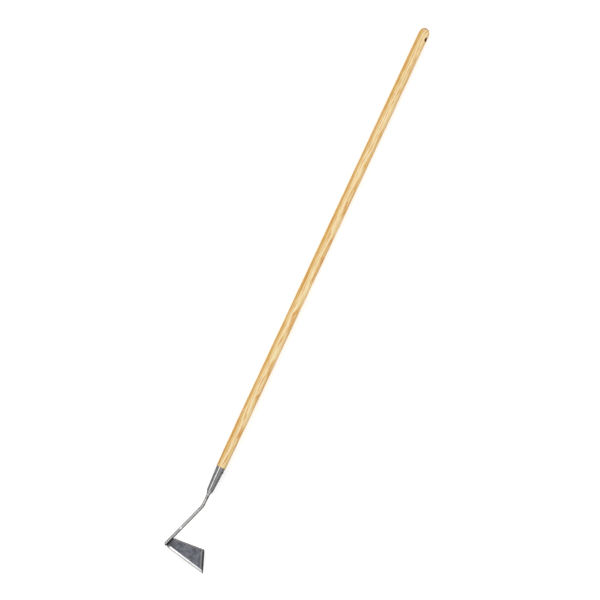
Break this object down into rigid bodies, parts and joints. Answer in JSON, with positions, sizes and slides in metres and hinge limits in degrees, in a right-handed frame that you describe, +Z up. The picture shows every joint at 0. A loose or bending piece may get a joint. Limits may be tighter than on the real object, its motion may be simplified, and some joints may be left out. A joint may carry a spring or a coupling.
{
  "type": "long handled three-edged hoe",
  "caption": "Long straight ash handle in a conical steel socket, with a cranked round neck and a slanting hoe blade ground on its front, far and rear edges.",
  "frame": {"origin": "on the floor, below the middle of the tool's bounding box, as the tool rests by itself on the rear edge of its blade and on the top end of its handle", "axes": "+X along the handle towards its rounded top, +Z up, +Y to the side that the neck is cranked to"},
  "size_m": [1.6886, 0.1378, 0.0541],
  "materials": {
    "ash_wood": "sanded ash, thin clear oil, open straight grain",
    "socket_steel": "polished stainless sheet",
    "rivet_steel": "dull dark steel",
    "neck_steel": "polished round bar",
    "weld_steel": "heat-tinted weld",
    "blade_steel": "satin sheet with bright ground edges"
  },
  "bodies": {
    "root": {"handle": "ash_wood", "socket": "socket_steel", "socket_rivet": "rivet_steel", "neck_rod": "neck_steel", "neck_weld": "weld_steel", "blade": "blade_steel", "tab_weld_top": "weld_steel", "tab_weld_under": "weld_steel"}
  },
  "joints": []
}
